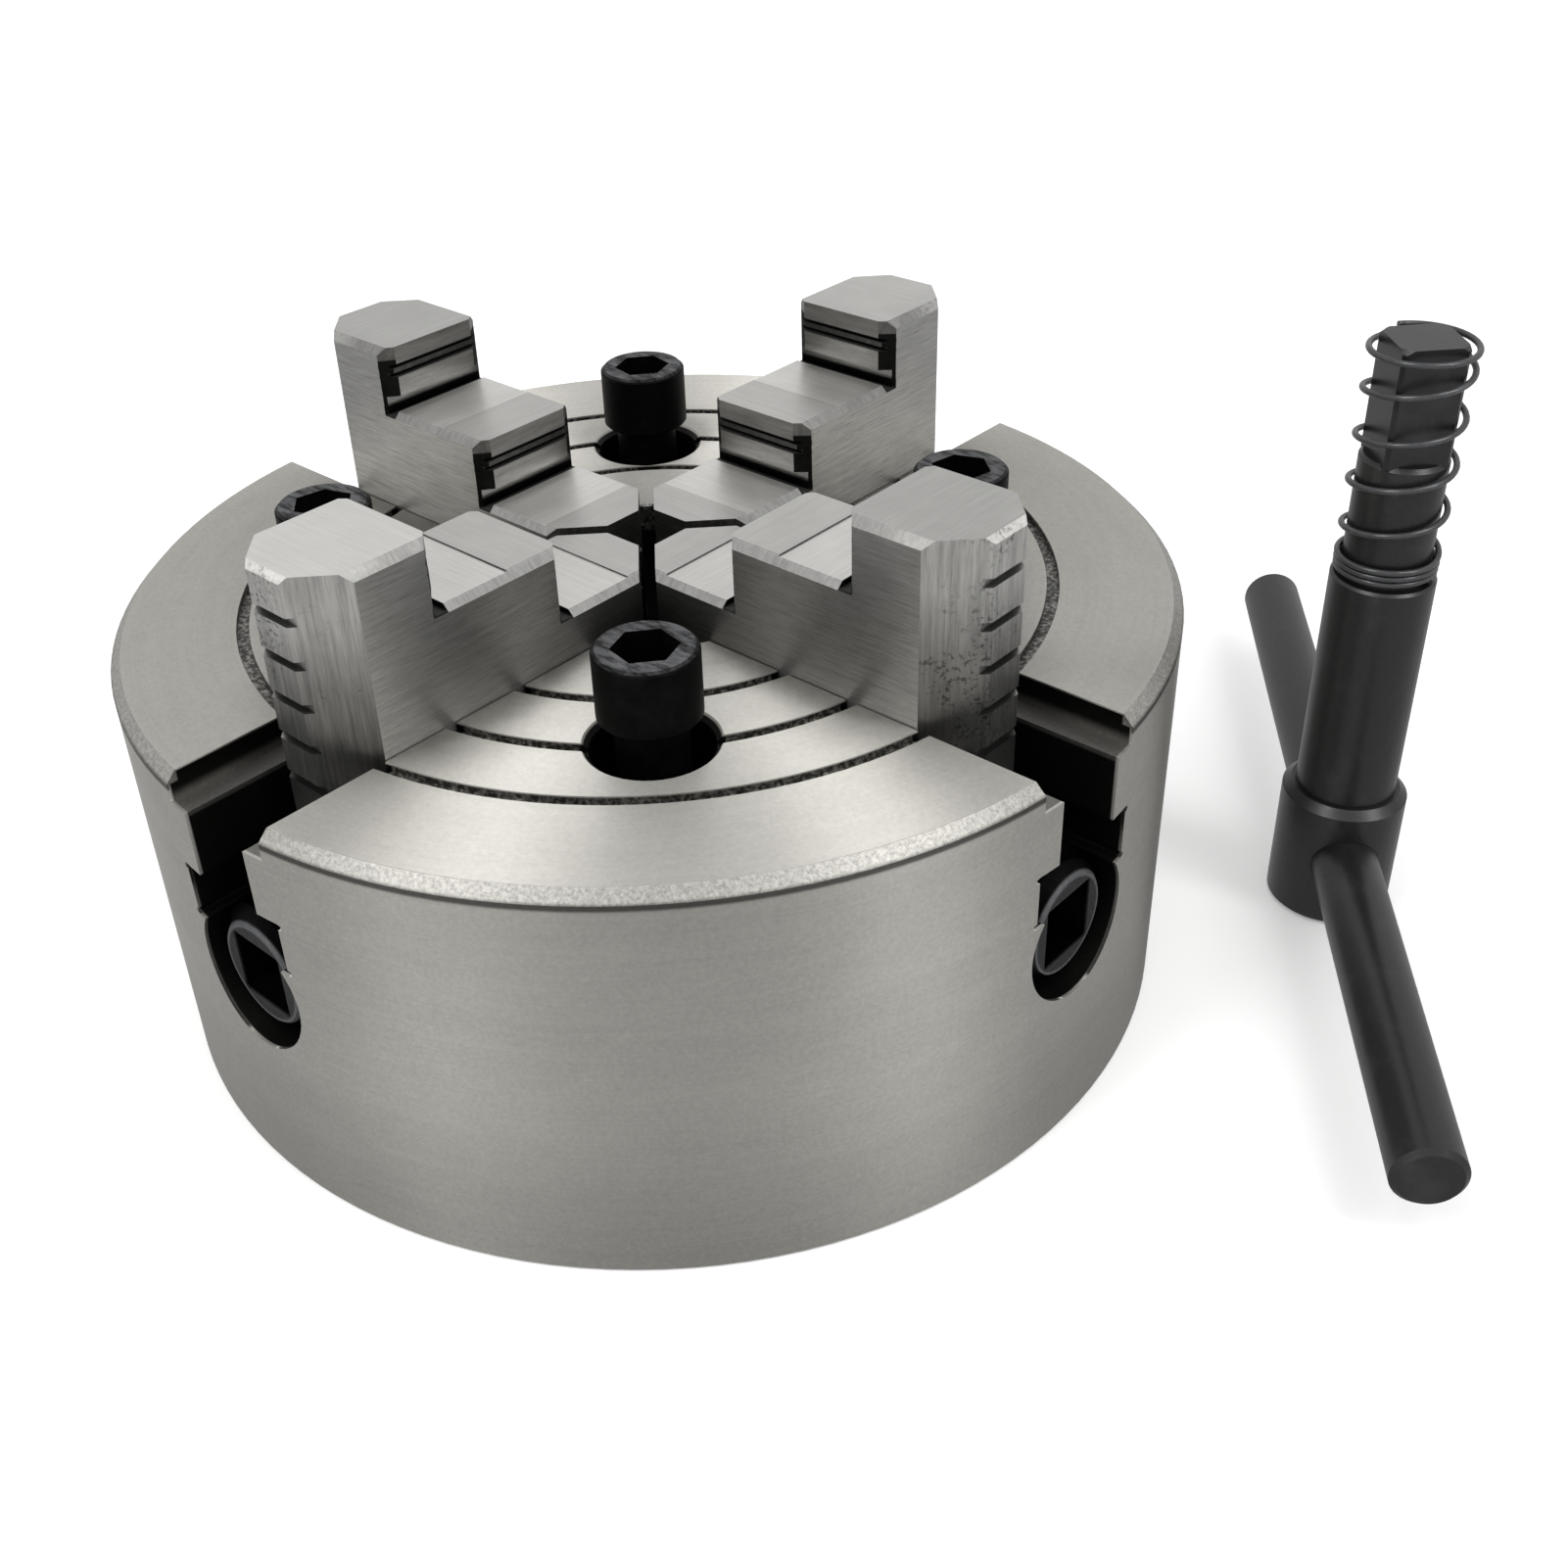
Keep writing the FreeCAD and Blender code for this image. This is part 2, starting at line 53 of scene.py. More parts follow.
# sizes of the frame that the materials and the spring follow, in metres
BODY_R = 0.080
FACE_Z = 0.065
SLOT_HALF = 0.0101
LEDGE_Z = 0.0607
BOLT_OFFSET = 0.03359
COUNTERBORE_MOUTH_R = 0.0094
BOLT_TOP_Z = 0.0790
SCREW_Z = 0.0358
SCREW_END = 0.0778
JAW_SHOULDER_Z = 0.0609
TREADS = (0.0723, 0.0824, 0.0924)
RISERS = (0.0252, 0.0462)
GROUND_STEP = 0.0002
KEY_AXIS = (0.084, 0.0738)
KEY_SHANK_TOP = 0.0615

# painted light: how bright the top face of each jaw is, for the light that falls on it
JAW_TOP_LIGHT = (0.50, 0.58, 0.52, 0.76)


# --- camera ---------------------------------------------------------------------
# where the camera stands, aims and leans, and its lens, all fitted to the photograph
CAMERA_PLACE = Vector((0.17705, -0.16777, 0.19349))
CAMERA_AIM = Vector((0.01333, 0.00596, 0.035))
CAMERA_ROLL = math.radians(-2.431)
SENSOR_MM = 36.0
LENS_MM = 41.0945509
SHIFT = (0.0234410, -0.0237895)


def make_camera():
    """A camera that stands, aims and leans as the values above say."""
    data = bpy.data.cameras.new("camera")
    cam = bpy.data.objects.new("camera", data)
    scene.collection.objects.link(cam)
    back = (CAMERA_PLACE - CAMERA_AIM).normalized()
    right = Vector((0, 0, 1)).cross(back).normalized()
    up = back.cross(right)
    x = right * math.cos(CAMERA_ROLL) + up * math.sin(CAMERA_ROLL)
    y = back.cross(x)
    turned = Matrix((x, y, back)).transposed().to_4x4()
    cam.matrix_world = Matrix.Translation(CAMERA_PLACE) @ turned
    data.sensor_width = SENSOR_MM
    data.lens = LENS_MM
    data.shift_x, data.shift_y = SHIFT
    data.clip_start = 0.01
    data.clip_end = 40.0
    scene.camera = cam


make_camera()


# --- node helpers ------------------------------------------------------------------
class Tree:
    """Short names for the nodes that the materials below are made of."""

    def __init__(self, name):
        self.mat = bpy.data.materials.new(name)
        self.mat.use_nodes = True
        self.tree = self.mat.node_tree
        self.bsdf = self.tree.nodes["Principled BSDF"]
        coords = self.tree.nodes.new("ShaderNodeTexCoord")
        self.obj = coords.outputs["Object"]
        self.normal = coords.outputs["Normal"]
        split = self.node("ShaderNodeSeparateXYZ", self.obj)
        self.x, self.y, self.z = split.outputs

    def node(self, kind, *inputs, **settings):
        made = self.tree.nodes.new(kind)
        for key, value in settings.items():
            setattr(made, key, value)
        for slot, value in enumerate(inputs):
            self.put(made.inputs[slot], value)
        return made

    def put(self, socket, value):
        if value is None:
            return
        if isinstance(value, bpy.types.NodeSocket):
            self.tree.links.new(value, socket)
        else:
            socket.default_value = value

    def math(self, operation, a, b=None):
        return self.node("ShaderNodeMath", a, b, operation=operation).outputs[0]

    def add(self, a, b):
        return self.math("ADD", a, b)

    def sub(self, a, b):
        return self.math("SUBTRACT", a, b)

    def mul(self, a, b):
        return self.math("MULTIPLY", a, b)

    def absolute(self, a):
        return self.math("ABSOLUTE", a)

    def length(self, a, b):
        return self.math("SQRT", self.add(self.mul(a, a), self.mul(b, b)))

    def vary(self, value, pattern, amount):
        """The value, up or down by half the amount as the pattern goes from 0 to 1."""
        return self.add(value, self.mul(self.sub(pattern, 0.5), amount))

    def scaled(self, value, where, factor):
        """The value where the mask is 0, factor times the value where it is 1."""
        return self.mul(value, self.add(1.0, self.mul(where, factor - 1.0)))

    def facing(self):
        """How squarely the surface looks along X, Y and Z, either way, from 0 to 1 each."""
        split = self.node("ShaderNodeSeparateXYZ", self.normal)
        return [self.absolute(output) for output in split.outputs]

    def combine(self, x, y, z):
        return self.node("ShaderNodeCombineXYZ", x, y, z).outputs[0]

    def ramp_between(self, value, low, high):
        """0 at low and beyond it, 1 at high, smooth between; low may be above high."""
        made = self.node("ShaderNodeMapRange", value, low, high, 0.0, 1.0)
        made.interpolation_type = "SMOOTHSTEP"
        made.clamp = True
        return made.outputs[0]

    def noise(self, vector, scale, detail, roughness):
        made = self.node("ShaderNodeTexNoise")
        self.put(made.inputs["Vector"], vector)
        made.inputs["Scale"].default_value = scale
        made.inputs["Detail"].default_value = detail
        made.inputs["Roughness"].default_value = roughness
        return made.outputs["Fac"]

    def mix_vector(self, factor, a, b):
        made = self.node("ShaderNodeMix", data_type="VECTOR")
        self.put(made.inputs["Factor"], factor)
        self.put(made.inputs[4], a)
        self.put(made.inputs[5], b)
        return made.outputs[1]

    def mix_value(self, factor, a, b):
        made = self.node("ShaderNodeMix", data_type="FLOAT")
        self.put(made.inputs["Factor"], factor)
        self.put(made.inputs[2], a)
        self.put(made.inputs[3], b)
        return made.outputs[0]

    def band(self, value, low, high, soft):
        """1 between low and high, 0 outside, with edges that reach as far as soft either way."""
        rise = self.ramp_between(value, low - soft, low + soft)
        fall = self.ramp_between(value, high + soft, high - soft)
        return self.mul(rise, fall)

    def most(self, *values):
        """The highest of the values."""
        highest = values[0]
        for value in values[1:]:
            highest = self.math("MAXIMUM", highest, value)
        return highest

    def open_air(self, reach, closed, wide):
        """0 deep in a narrow gap of the piece itself, 1 on its open faces."""
        made = self.node("ShaderNodeAmbientOcclusion", samples=6, only_local=True)
        made.inputs["Distance"].default_value = reach
        return self.ramp_between(made.outputs["AO"], closed, wide)

    def grey(self, value, warmth=0.0):
        """A socket of grey values turned into a colour, a touch warm or cold."""
        made = self.node("ShaderNodeCombineColor")
        self.put(made.inputs[0], self.mul(value, 1 + warmth))
        self.put(made.inputs[1], self.mul(value, 1 + warmth / 3))
        self.put(made.inputs[2], self.mul(value, 1 - warmth * 1.6))
        return made.outputs[0]

    def bump(self, height, strength):
        made = self.node("ShaderNodeBump")
        made.inputs["Strength"].default_value = strength
        made.inputs["Distance"].default_value = 0.0002
        self.put(made.inputs["Height"], height)
        return made.outputs[0]

    def brushed(self, amount, across):
        """Stretches the gloss across the tool marks; across is the direction square to them."""
        world = self.node("ShaderNodeVectorTransform", across, vector_type="VECTOR")
        world.convert_from = "OBJECT"
        world.convert_to = "WORLD"
        self.put(self.bsdf.inputs["Anisotropic"], amount)
        self.put(self.bsdf.inputs["Tangent"], world.outputs[0])

    def finish(self, colour, roughness, normal=None, metallic=1.0, specular=0.5):
        self.put(self.bsdf.inputs["Base Color"], colour)
        self.put(self.bsdf.inputs["Roughness"], roughness)
        self.put(self.bsdf.inputs["Normal"], normal)
        self.bsdf.inputs["Metallic"].default_value = metallic
        self.bsdf.inputs["Specular IOR Level"].default_value = specular
        return self.mat


def assign(material, *names):
    for name in names:
        obj = nodes[name]
        obj.data.materials.clear()
        obj.data.materials.append(material)


# --- materials -------------------------------------------------------------------------
def body_steel():
    """Turned face, ground rim, satin side and slots on the one casting, with painted shade darkening
    the side, the face beside the slots, and everything sunk below the face.
    """
    t = Tree("body_steel")
    radius = t.length(t.x, t.y)
    flat = t.ramp_between(t.facing()[2], 0.9, 0.97)
    # fine rings on the face and the back, fine hoops round the side
    along = t.mix_value(flat, t.z, radius)
    lines = t.noise(t.combine(along, t.mul(t.x, 0.01), t.mul(t.y, 0.01)), 2600.0, 4.0, 0.7)
    broad = t.noise(t.combine(along, t.mul(t.x, 0.12), t.mul(t.y, 0.12)), 260.0, 3.0, 0.6)
    grain = t.noise(t.obj, 1500.0, 4.0, 0.7)
    cloud = t.noise(t.obj, 22.0, 3.0, 0.5)
    stain = t.noise(t.obj, 70.0, 5.0, 0.65)
    # painted shade: the side gets a darker grey than the face and the back
    value = t.mix_value(flat, 0.49, 0.64)
    for pattern, amount in ((lines, 0.10), (broad, 0.06), (grain, 0.22), (cloud, 0.08), (stain, 0.07)):
        value = t.vary(value, pattern, amount)
    # painted shade: the lower part of the body darkens toward the floor
    value = t.scaled(value, t.ramp_between(t.z, 0.034, 0.0), 0.76)
    rough = t.vary(t.mix_value(flat, 0.50, 0.52), cloud, 0.08)
    # ground rim with a thin dark line under it
    rim = t.ramp_between(radius, BODY_R - 0.0018, BODY_R - 0.0015)
    rim = t.mul(rim, t.ramp_between(t.z, FACE_Z - 0.0018, FACE_Z - 0.0015))
    sparkle = t.noise(t.obj, 1900.0, 3.0, 0.85)
    value = t.mix_value(rim, value, t.vary(0.40, sparkle, 0.75))
    rough = t.mix_value(rim, rough, 0.48)
    edge = t.band(t.z, FACE_Z - 0.0025, FACE_Z - 0.0015, 0.0003)
    edge = t.mul(edge, t.ramp_between(radius, BODY_R - 0.0005, BODY_R - 0.0001))
    value = t.scaled(value, edge, 0.22)
    # painted shade and reflection: the face is darker beside the slots, where the jaws run, shade it
    # and are mirrored in it
    across = t.math("MINIMUM", t.absolute(t.x), t.absolute(t.y))
    beside_shade = t.mul(t.ramp_between(across, 0.026, 0.009), t.ramp_between(radius, 0.072, 0.050))
    beside_shade = t.mul(t.mul(beside_shade, flat), t.vary(0.75, stain, 1.2))
    value = t.scaled(value, beside_shade, 0.38)
    # painted shade on everything sunk below the face: ring grooves, slots above their ledges, and the
    # deep rest, which with the bolt holes is nearly black
    sunk = t.ramp_between(radius, BODY_R - 0.0003, BODY_R - 0.0006)
    sunk = t.mul(sunk, t.ramp_between(t.z, FACE_Z - 0.00015, FACE_Z - 0.00035))
    sunk = t.mul(sunk, t.sub(1.0, rim))
    ring_groove_shade = t.add(0.06, t.mul(t.ramp_between(grain, 0.40, 0.75), 0.42))
    slot_shade = t.add(0.012, t.mul(t.ramp_between(t.z, LEDGE_Z + 0.0018, LEDGE_Z - 0.0001), 0.20))
    slot_shade = t.mul(slot_shade, t.add(0.6, t.mul(grain, 0.8)))
    deep_shade = t.add(0.010, t.mul(grain, 0.020))
    slot = t.ramp_between(across, SLOT_HALF + 0.0011, SLOT_HALF + 0.0008)
    deep = t.mul(sunk, t.ramp_between(t.z, LEDGE_Z - 0.0004, LEDGE_Z - 0.0009))
    bolt_gap = t.length(t.sub(t.absolute(t.x), BOLT_OFFSET), t.sub(t.absolute(t.y), BOLT_OFFSET))
    mouth = t.ramp_between(bolt_gap, COUNTERBORE_MOUTH_R + 0.0003, COUNTERBORE_MOUTH_R + 0.0001)
    sunk_shade = t.mix_value(slot, ring_groove_shade, slot_shade)
    sunk_shade = t.mix_value(deep, sunk_shade, deep_shade)
    sunk_shade = t.mix_value(mouth, sunk_shade, deep_shade)
    value = t.mix_value(sunk, value, sunk_shade)
    rough = t.mix_value(sunk, rough, 0.5)
    # the gloss is stretched across the tool marks, except on the rim and below the face
    turned = t.mul(t.mix_value(flat, 0.90, 0.95), t.sub(1.0, t.most(sunk, rim)))
    t.brushed(turned, t.mix_vector(flat, (0.0, 0.0, 1.0), t.combine(t.x, t.y, 0.0)))
    normal = t.bump(t.add(t.mul(lines, 0.7), t.mul(grain, 0.5)), 0.12)
    return t.finish(t.grey(value, 0.035), rough, normal)


def jaw_steel(name, along_y, top):
    """Ground flanks with long scratches, milled ends, brighter ground treads, painted light on the
    tops and painted shade in the grooves, gaps and toward the foot.
    """
    t = Tree(name)
    nx, ny, nz = t.facing()
    if along_y:
        along, across, n_end, n_side = t.y, t.x, ny, nx
        endways, sideways = (0.0, 1.0, 0.0), (1.0, 0.0, 0.0)
    else:
        along, across, n_end, n_side = t.x, t.y, nx, ny
        endways, sideways = (1.0, 0.0, 0.0), (0.0, 1.0, 0.0)
    out = t.absolute(along)
    end = t.ramp_between(n_end, 0.5, 0.75)
    side = t.ramp_between(n_side, 0.9, 0.97)
    flat = t.ramp_between(nz, 0.6, 0.9)
    bevel = t.mul(t.band(nz, 0.5, 0.85, 0.05), t.sub(1.0, end))
    outer = t.mul(t.sub(1.0, flat), t.ramp_between(out, 0.052, 0.058))
    outer = t.mul(outer, t.sub(1.0, side))
    # scratches along the flanks, marks across the treads, mill marks down the outer end
    scratch = t.noise(t.combine(t.mul(along, 0.045), t.mul(across, 0.4), t.z), 3600.0, 5.0, 0.85)
    cross = t.noise(t.combine(along, t.mul(across, 0.03), t.mul(t.z, 0.3)), 2200.0, 4.0, 0.75)
    mill = t.noise(t.combine(along, across, t.mul(t.z, 0.05)), 1500.0, 4.0, 0.75)
    grain = t.noise(t.obj, 900.0, 4.0, 0.7)
    cloud = t.noise(t.obj, 60.0, 4.0, 0.6)
    lines = t.mix_value(outer, t.mix_value(side, cross, scratch), mill)
    highest = t.ramp_between(t.z, TREADS[2] - 0.0014, TREADS[2] - 0.0004)
    # painted light: the top face takes its own jaw's grey
    value = t.mix_value(flat, 0.40, t.mix_value(highest, 0.58, top))
    value = t.vary(value, lines, t.mix_value(flat, 0.62, 0.24))
    value = t.vary(value, cloud, 0.20)
    # painted shade: the sloping chamfers are darker
    value = t.scaled(value, bevel, 0.55)
    rough = t.vary(t.mix_value(outer, 0.36, 0.46), cloud, 0.12)
    # painted shade: flanks darken toward the centre and the foot; risers are duller than the flanks
    inner_shade = t.mul(t.ramp_between(out, 0.046, 0.012), t.ramp_between(t.z, 0.084, 0.066))
    value = t.scaled(value, t.mul(side, inner_shade), 0.28)
    riser = t.mul(end, t.sub(1.0, outer))
    riser = t.mul(riser, t.ramp_between(t.z, TREADS[0] - 0.0001, TREADS[0] + 0.0001))
    value = t.scaled(value, riser, 0.78)
    # pits and stains on the milled outer end, and painted light and shade on it: lighter above, darker
    # toward the foot
    patch = t.noise(t.obj, 110.0, 4.0, 0.6)
    pits = t.noise(t.obj, 1500.0, 3.0, 0.6)
    spots = t.mul(t.ramp_between(patch, 0.46, 0.62), t.ramp_between(pits, 0.52, 0.62))
    for where, factor in (
        (spots, 0.40),
        (t.ramp_between(t.z, 0.074, 0.088), 1.55),
        (t.ramp_between(t.z, 0.088, 0.064), 0.45),
    ):
        value = t.scaled(value, t.mul(where, outer), factor)
    # painted shade on each riser: dark corner cuts, a dark foot and a dark grip groove with two darker
    # lines
    dark, slit, groove_shade, ground = 0.0, 0.0, 0.0, 0.0
    for at, tread, crest in zip(RISERS, TREADS, TREADS[1:]):
        near = t.band(out, at - 0.0006, at + 0.0019, 0.0001)
        foot = t.band(t.z, tread - 0.0011, tread + 0.0004, 0.0002)
        lower_line = t.band(t.z, tread + 0.0051, tread + 0.0055, 0.0001)
        upper_line = t.band(t.z, tread + 0.0065, tread + 0.0072, 0.0001)
        corner = t.ramp_between(t.z, crest - 0.0019, crest - 0.0022)
        corner = t.mul(t.band(n_side, 0.45, 0.9, 0.05), corner)
        dark = t.most(dark, t.mul(near, t.most(foot, lower_line, upper_line, corner)))
        slit = t.most(slit, t.mul(near, t.band(t.z, tread + 0.0005, tread + 0.0022, 0.0001)))
        groove_shade = t.most(groove_shade, t.mul(near, t.band(t.z, tread + 0.0050, tread + 0.0072, 0.0001)))
        ground_z = tread - GROUND_STEP
        ground = t.most(ground, t.band(t.z, ground_z - 0.00006, ground_z + 0.00006, 0.00004))
    value = t.scaled(value, t.mul(ground, flat), 1.30)
    value = t.mix_value(t.mul(groove_shade, end), value, t.add(0.02, t.mul(grain, 0.14)))
    value = t.mix_value(dark, value, t.add(0.006, t.mul(grain, 0.03)))
    rough = t.mix_value(dark, rough, 0.6)
    # painted shade: narrow gaps are darkened, though less so in the relief just above a foot
    lit = t.most(t.open_air(0.0022, 0.35, 0.85), t.mul(slit, 0.55))
    value = t.mul(value, t.mix_value(lit, 0.16, 1.0))
    # painted shade: the part below the face, down in the slot, is dark
    below = t.ramp_between(t.z, JAW_SHOULDER_Z + 0.0003, JAW_SHOULDER_Z - 0.0003)
    value = t.mix_value(below, value, t.add(0.06, t.mul(grain, 0.08)))
    gloss = t.mix_vector(side, endways, (0.0, 0.0, 1.0))
    t.brushed(t.mix_value(flat, 0.8, 0.5), t.mix_vector(end, gloss, sideways))
    normal = t.bump(t.add(lines, t.mul(grain, 0.3)), 0.16)
    return t.finish(t.grey(value, 0.018), rough, normal)


def black_oxide(name, base, spread, roughness, specular=0.3, worn_and_lit_above=None):
    """Blackened steel; the last argument names a height over which upward faces are greyer, partly
    rubbed and partly painted light.
    """
    t = Tree(name)
    grain = t.noise(t.obj, 1400.0, 4.0, 0.7)
    cloud = t.noise(t.obj, 120.0, 3.0, 0.6)
    value = t.add(base, t.mul(grain, spread))
    value = t.add(value, t.mul(t.ramp_between(cloud, 0.5, 0.75), spread))
    if worn_and_lit_above is not None:
        # upward faces up there are greyer, partly as wear and partly as painted light
        up = t.node("ShaderNodeSeparateXYZ", t.normal).outputs[2]
        worn = t.ramp_between(t.z, worn_and_lit_above - 0.0001, worn_and_lit_above)
        worn = t.mul(worn, t.ramp_between(up, 0.6, 0.9))
        streak = t.noise(t.combine(t.mul(t.x, 0.3), t.y, t.z), 900.0, 4.0, 0.7)
        rubbed_and_lit = t.add(0.02, t.mul(t.ramp_between(streak, 0.35, 0.65), 0.11))
        value = t.mix_value(worn, value, t.mul(rubbed_and_lit, t.add(0.6, t.mul(cloud, 0.8))))
    # painted shade: narrow gaps are darkened
    lit = t.open_air(0.003, 0.2, 0.8)
    value = t.mul(value, t.mix_value(lit, 0.3, 1.0))
    rough = t.vary(roughness, cloud, 0.15)
    return t.finish(t.grey(value, -0.02), rough, t.bump(grain, 0.10), metallic=0.5, specular=specular)


def screw_steel():
    """Blackened screws whose outer end ring is rubbed to a dull grey."""
    t = Tree("screw_black")
    grain = t.noise(t.obj, 1400.0, 4.0, 0.7)
    cloud = t.noise(t.obj, 120.0, 3.0, 0.6)
    value = t.add(0.001, t.mul(t.ramp_between(cloud, 0.45, 0.8), 0.006))
    # each screw lies along X or Y, so the larger of the two is how far out a point is
    reach = t.math("MAXIMUM", t.absolute(t.x), t.absolute(t.y))
    aside = t.math("MINIMUM", t.absolute(t.x), t.absolute(t.y))
    radius = t.length(aside, t.sub(t.z, SCREW_Z))
    endmost = t.ramp_between(reach, SCREW_END - 0.0004, SCREW_END - 0.0001)
    value = t.mix_value(endmost, value, t.add(0.015, t.mul(grain, 0.05)))
    worn = t.ramp_between(reach, SCREW_END - 0.0010, SCREW_END - 0.0004)
    worn = t.mul(worn, t.band(radius, 0.0072, 0.0080, 0.0002))
    value = t.mix_value(worn, value, t.add(0.06, t.mul(grain, 0.12)))
    rough = t.vary(0.55, cloud, 0.15)
    return t.finish(t.grey(value, -0.02), rough, t.bump(grain, 0.10), metallic=0.5, specular=0.03)


def fork_steel():
    """Plain grey steel with fine turned rings, for the forks that only show from below."""
    t = Tree("fork_steel")
    grain = t.noise(t.obj, 1100.0, 4.0, 0.7)
    rings = t.noise(t.combine(t.mul(t.x, 0.1), t.mul(t.y, 0.1), t.z), 1600.0, 3.0, 0.7)
    value = t.add(0.16, t.add(t.mul(grain, 0.12), t.mul(rings, 0.10)))
    return t.finish(t.grey(value), t.add(0.38, t.mul(grain, 0.1)), t.bump(rings, 0.15))


assign(body_steel(), "chuck_body")
for number, top in enumerate(JAW_TOP_LIGHT, 1):
    assign(jaw_steel(f"jaw_steel_{number}", number % 2 == 0, top), f"jaw_{number}")
assign(screw_steel(), *SCREWS)
assign(black_oxide("bolt_black", 0.001, 0.004, 0.50, 0.04, BOLT_TOP_Z), *BOLTS)
assign(black_oxide("key_black", 0.014, 0.014, 0.32, 0.8), "key_shank", "key_bar")
assign(fork_steel(), *FORKS)


# --- ejector spring ------------------------------------------------------------------------
WIRE_R = 0.00048
COIL_R = (0.00715, 0.0075)
CLOSED_TURNS, OPEN_TURNS, END_TURNS = 3.0, 4.4, 1.0
CLOSED_PITCH, OPEN_PITCH, END_PITCH = 0.0010, 0.0072, 0.0012
STEPS_PER_TURN = 40
SIDES = 12


def spring_points(centre):
    """Points up the middle of the wire: closed coils, open coils, and a closed end."""
    turns = CLOSED_TURNS + OPEN_TURNS + END_TURNS
    z = KEY_SHANK_TOP + 0.0001 + WIRE_R
    points = []
    for i in range(int(turns * STEPS_PER_TURN) + 1):
        turn = i / STEPS_PER_TURN
        radius = COIL_R[0] + (COIL_R[1] - COIL_R[0]) * turn / turns
        angle = 2 * math.pi * turn
        points.append(centre + Vector((radius * math.cos(angle), radius * math.sin(angle), z)))
        if turn < CLOSED_TURNS:
            pitch = CLOSED_PITCH
        elif turn < CLOSED_TURNS + OPEN_TURNS:
            pitch = OPEN_PITCH
        else:
            pitch = END_PITCH
        z += pitch / STEPS_PER_TURN
    return points


def tube_mesh(name, points, centre):
    """A round tube along the points, with flat ends; centre is on the coil's axis."""
    last = len(points) - 1
    verts, faces = [], []
    for i, point in enumerate(points):
        ahead = (points[min(i + 1, last)] - points[max(i - 1, 0)]).normalized()
        out = Vector((point.x - centre.x, point.y - centre.y, 0)).normalized()
        lift = ahead.cross(out).normalized()
        out = lift.cross(ahead)
        for k in range(SIDES):
            angle = 2 * math.pi * k / SIDES
            verts.append(point + out * (WIRE_R * math.cos(angle)) + lift * (WIRE_R * math.sin(angle)))
    for i in range(last):
        for k in range(SIDES):
            a, b = i * SIDES + k, i * SIDES + (k + 1) % SIDES
            faces.append((a, b, b + SIDES, a + SIDES))
    faces.append(tuple(reversed(range(SIDES))))
    faces.append(tuple(range(last * SIDES, (last + 1) * SIDES)))
    mesh = bpy.data.meshes.new(name)
    mesh.from_pydata(verts, [], faces)
    mesh.update()
    for poly in mesh.polygons:
        poly.use_smooth = len(poly.vertices) == 4
    return mesh


def make_spring():
    """The same wire as the CAD spring, as a smooth tube."""
    centre = Vector((*KEY_AXIS, 0.0))
    mesh = tube_mesh("ejector_spring", spring_points(centre), centre)
    obj = bpy.data.objects.new("ejector_spring", mesh)
    scene.collection.objects.link(obj)
    mesh.materials.append(black_oxide("spring_wire", 0.05, 0.05, 0.26))
    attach(obj, "key")
    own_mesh(obj)
    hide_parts("key_spring")


make_spring()


# --- stage and light ---------------------------------------------------------------------------
FLOOR_HALF = 12.0


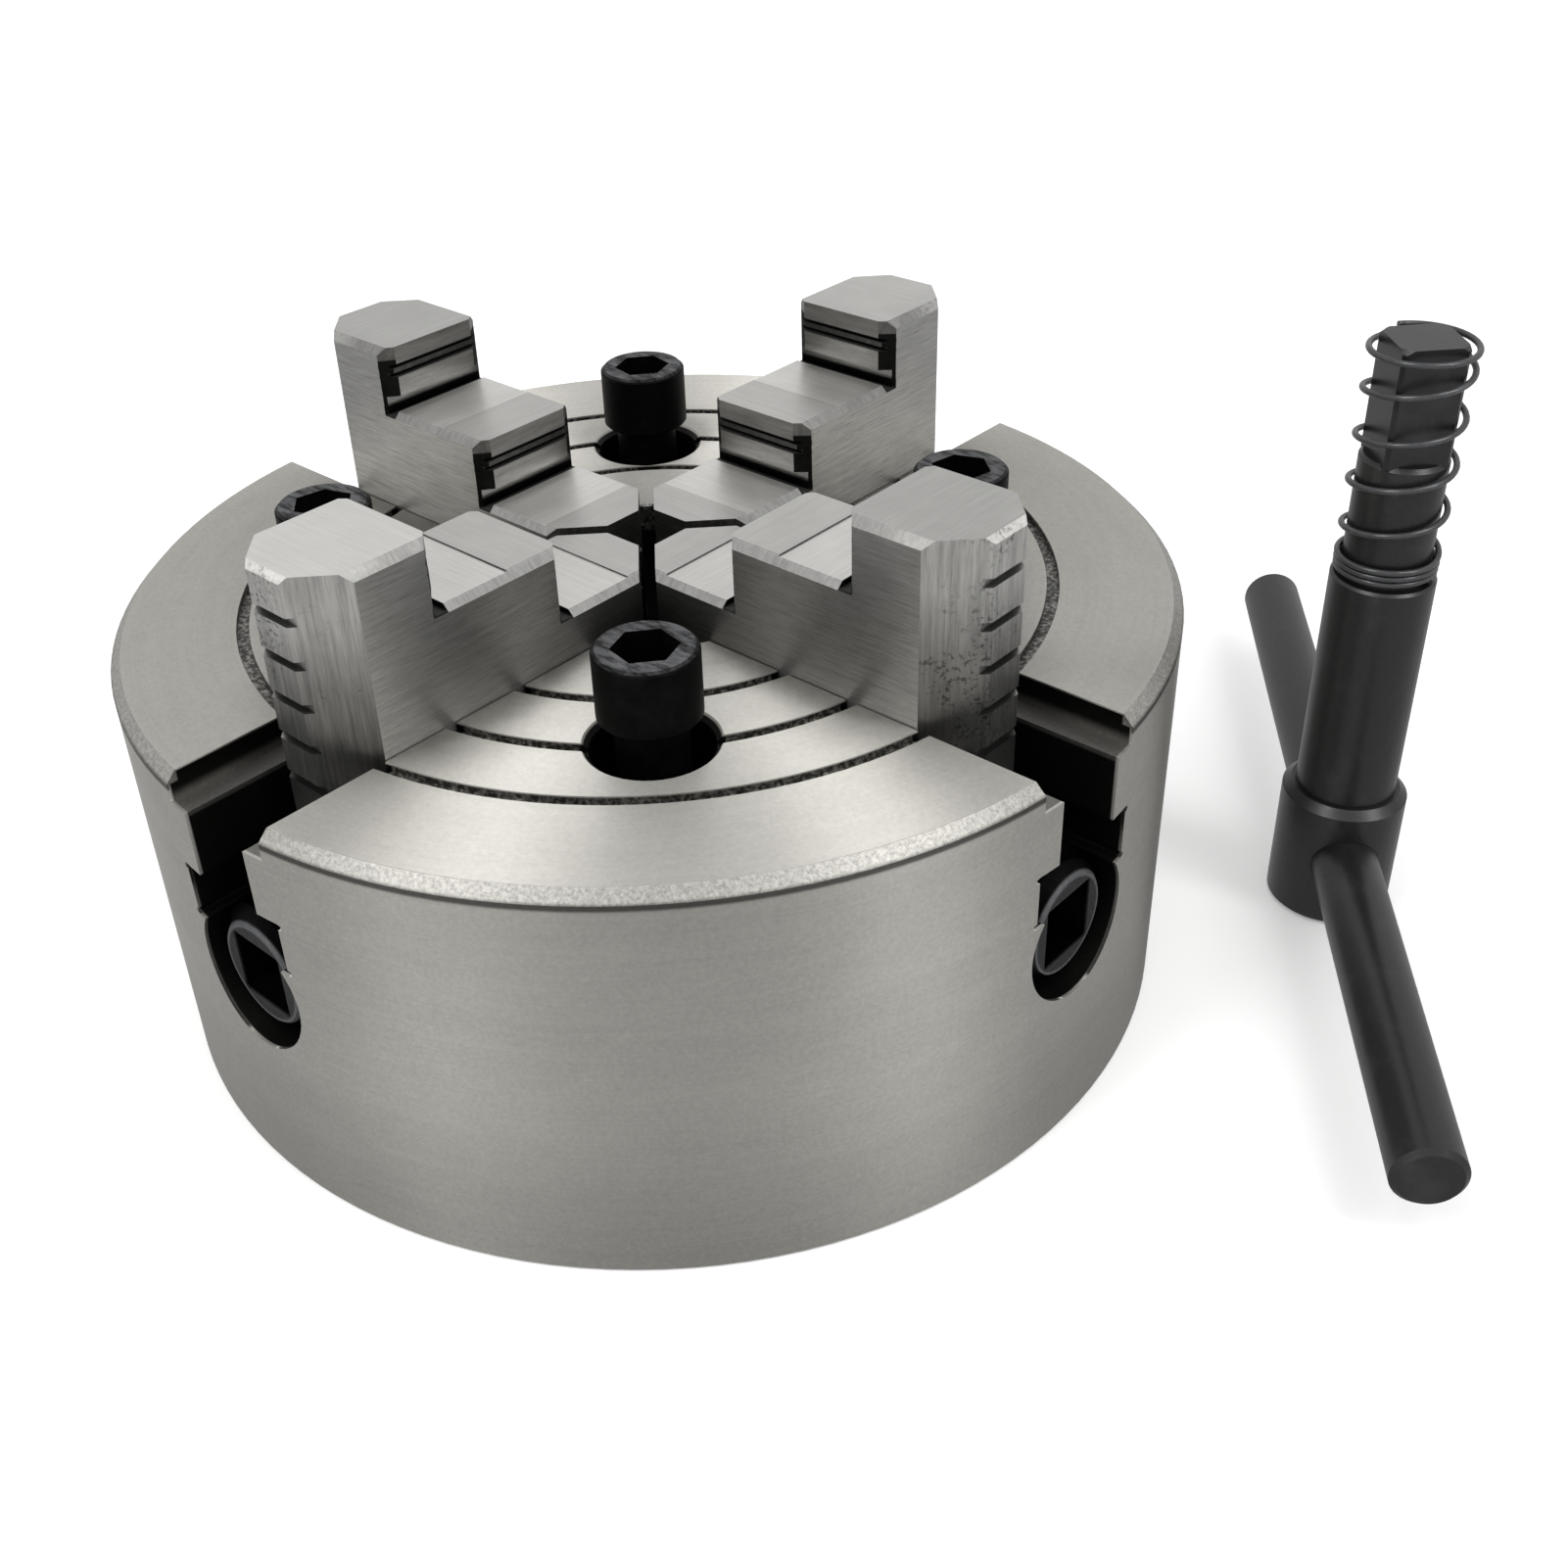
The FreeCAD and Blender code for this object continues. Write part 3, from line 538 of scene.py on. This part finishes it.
def make_floor():
    """A pale table top, lit a little from within so that it fades into the background."""
    mesh = bpy.data.meshes.new("floor")
    corners = [(x * FLOOR_HALF, y * FLOOR_HALF, 0) for x, y in ((-1, -1), (1, -1), (1, 1), (-1, 1))]
    mesh.from_pydata(corners, [], [(0, 1, 2, 3)])
    floor = bpy.data.objects.new("floor", mesh)
    scene.collection.objects.link(floor)
    t = Tree("floor_pale")
    dust = t.noise(t.obj, 6.0, 2.0, 0.5)
    value = t.vary(0.90, dust, 0.01)
    t.bsdf.inputs["Emission Color"].default_value = (1.0, 1.0, 1.0, 1.0)
    t.bsdf.inputs["Emission Strength"].default_value = 0.26
    mesh.materials.append(t.finish(t.grey(value), 0.7, metallic=0.0, specular=0.1))
    floor.visible_glossy = False


def soft_box(name, azimuth, elevation, distance, wide, tall, radiance):
    """A rectangular lamp that lights the object from that direction, both angles in degrees."""
    az, el = math.radians(azimuth), math.radians(elevation)
    toward = Vector((math.cos(az) * math.cos(el), math.sin(az) * math.cos(el), math.sin(el)))
    place = toward * distance
    data = bpy.data.lights.new(name, "AREA")
    data.shape = "RECTANGLE"
    data.size = wide
    data.size_y = tall
    data.energy = radiance * math.pi * wide * tall
    lamp = bpy.data.objects.new(name, data)
    scene.collection.objects.link(lamp)
    lamp.location = place + Vector((0, 0, 0.04))
    lamp.rotation_euler = (-place).to_track_quat("-Z", "Y").to_euler()
    lamp.visible_camera = False


SKY = ((0.0, 0.25), (0.15, 0.45), (0.45, 0.60), (0.52, 0.66), (0.75, 0.76), (1.0, 0.80))


def make_world():
    """A plain pale studio: brightest overhead, greyer toward the ground."""
    world = bpy.data.worlds.new("studio")
    world.use_nodes = True
    scene.world = world
    tree = world.node_tree
    back = tree.nodes["Background"]
    coords = tree.nodes.new("ShaderNodeTexCoord")
    split = tree.nodes.new("ShaderNodeSeparateXYZ")
    tree.links.new(coords.outputs["Generated"], split.inputs[0])
    shift = tree.nodes.new("ShaderNodeMath")
    shift.operation = "MULTIPLY_ADD"
    tree.links.new(split.outputs[2], shift.inputs[0])
    shift.inputs[1].default_value = 0.5
    shift.inputs[2].default_value = 0.5
    ramp = tree.nodes.new("ShaderNodeValToRGB")
    tree.links.new(shift.outputs[0], ramp.inputs[0])
    for _ in SKY[2:]:
        ramp.color_ramp.elements.new(0.5)
    for element, (place, level) in zip(ramp.color_ramp.elements, SKY):
        element.position = place
        element.color = (level, level, level, 1.0)
    tree.links.new(ramp.outputs[0], back.inputs[0])
    back.inputs[1].default_value = 1.0


make_floor()
make_world()
soft_box("left_box", -100.0, 55.0, 1.2, 0.30, 0.8, 6.4)
soft_box("right_box", 10.0, 50.0, 1.2, 0.30, 0.8, 6.0)
